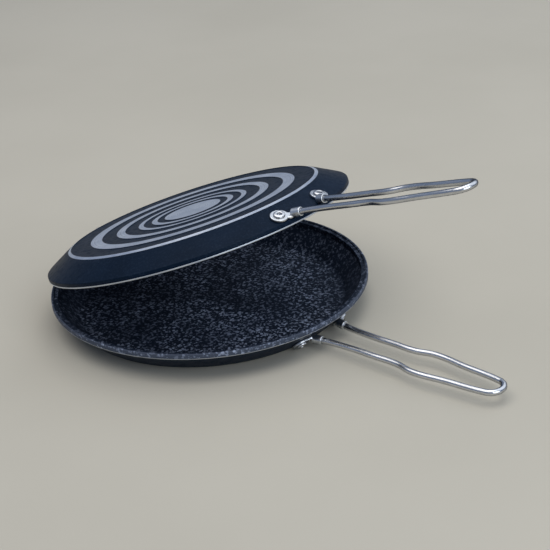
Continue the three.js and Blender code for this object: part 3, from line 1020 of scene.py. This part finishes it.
pin_head_radius = 0.0038
pin_head_height = 0.0016
washer_thickness = 0.0008
washer_radius = 0.0041
washer_chamfer = 0.0001
pin_colour = (0.64, 0.65, 0.67, 1)
pin_roughness = 0.28
pin_stretch = (900, 300, 900)
pin_head = ((0.2, 1), (0.45, 0.96), (0.7, 0.82), (0.88, 0.6), (0.97, 0.32), (1, 0))
along_pin = Matrix.Translation(hinge_place) @ Matrix.Rotation(math.pi / 2, 4, 'X')
pin_steel = steel('pin_steel', upright, pin_colour, pin_roughness, pin_stretch)

shoulder = leaf_half_width + washer_thickness + 2 * rest_gap
pin_outline = [(pin_head_radius * share, shoulder + pin_head_height * rise) for share, rise in pin_head]
pin_outline.append((pin_radius, shoulder))
pin_outline += [(radius, -height) for radius, height in reversed(pin_outline)]
pin = put(turned('knuckle_pin', pin_outline, hinge_sides), along_pin)
washer_outline = [
    (pin_radius + pin_clearance, 0),
    (washer_radius - washer_chamfer, 0),
    (washer_radius, washer_chamfer),
    (washer_radius, washer_thickness - washer_chamfer),
    (washer_radius - washer_chamfer, washer_thickness),
    (pin_radius + pin_clearance, washer_thickness),
]
washer = turned('pin_washer', washer_outline, hinge_sides, bored=True)
pieces = [(pin, 'hinge_pin')]
for side, word in ((1, 'left'), (-1, 'right')):
    low = side * (leaf_half_width + rest_gap + washer_thickness / 2) + washer_thickness / 2
    shift = Matrix.Translation((0, low, 0))
    pieces.append((put(copy_of(washer, 'pin_washer_' + word), shift @ along_pin), 'hinge_washer_' + word))
bpy.data.objects.remove(washer)
for piece, node in pieces:
    piece.data.materials.append(pin_steel)
    smooth(piece, rivet_sharp_angle)
    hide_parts(node)
    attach(piece, 'lower')


# Studio
# A plain pale floor, wide soft light from above, weaker ones from the handles' side and from behind, and the
# camera at the photograph's view.

floor_size = 12
floor_shade = (0.432, 0.405, 0.340, 1)
floor_light = (0.458, 0.430, 0.363, 1)
floor_cloud_scale = 3.0
floor_cloud_limits = (0.3, 0.7)
floor_roughness = 0.9
floor_gloss = 0.1
world_colour = (0.52, 0.66, 0.95, 1)
world_strength = 0.36
camera_place = (0.7803, -0.7592, 0.5541)
camera_turn_degrees = (63.84, 4.21, 40.68)
camera_lens = 89.4
camera_sensor = 36
camera_reach = 30

bpy.ops.mesh.primitive_plane_add(size=floor_size, location=(0, 0, 0))
floor = bpy.context.object
floor.name = 'floor'
floor_material, floor_tree, floor_shader = new_material('pale_floor')
floor_vector = pan_coordinates(floor_tree, upright)
floor_clouds = graded(
    floor_tree, noise(floor_tree, floor_vector, floor_cloud_scale, detail=4.0), *floor_cloud_limits)
floor_colour = mixed(floor_tree, floor_clouds, floor_shade, floor_light)
feed(floor_tree, floor_shader.inputs['Base Color'], floor_colour)
floor_shader.inputs['Roughness'].default_value = floor_roughness
floor_shader.inputs['Specular IOR Level'].default_value = floor_gloss
floor.data.materials.append(floor_material)


def area_light(name, place, aim, size, power, colour):
    """A round soft light that points at a place."""
    bpy.ops.object.light_add(type='AREA', location=place)
    light = bpy.context.object
    light.name = name
    light.rotation_euler = (Vector(aim) - Vector(place)).to_track_quat('-Z', 'Y').to_euler()
    light.data.shape = 'DISK'
    light.data.size = size
    light.data.energy = power
    light.data.color = colour


area_light('key_light', (-0.25, -0.35, 2.4), aim=(0.05, 0, 0), size=3.2, power=47, colour=(1.0, 0.95, 0.88))
area_light('side_light', (2.3, -0.6, 1.1), aim=(0.05, 0, 0.05), size=1.8, power=26, colour=(0.88, 0.94, 1.0))
area_light('back_light', (0.5, 1.6, 1.9), aim=(0.05, 0, 0), size=3.6, power=30, colour=(0.92, 0.96, 1.0))

world = bpy.data.worlds.new('studio')
bpy.context.scene.world = world
world.use_nodes = True
world.node_tree.nodes['Background'].inputs['Color'].default_value = world_colour
world.node_tree.nodes['Background'].inputs['Strength'].default_value = world_strength

camera_turn = [math.radians(angle) for angle in camera_turn_degrees]
bpy.ops.object.camera_add(location=camera_place, rotation=camera_turn)
camera = bpy.context.object
camera.data.lens = camera_lens
camera.data.sensor_width = camera_sensor
camera.data.clip_end = camera_reach
bpy.context.scene.camera = camera
bpy.context.scene.view_settings.view_transform = 'Standard'
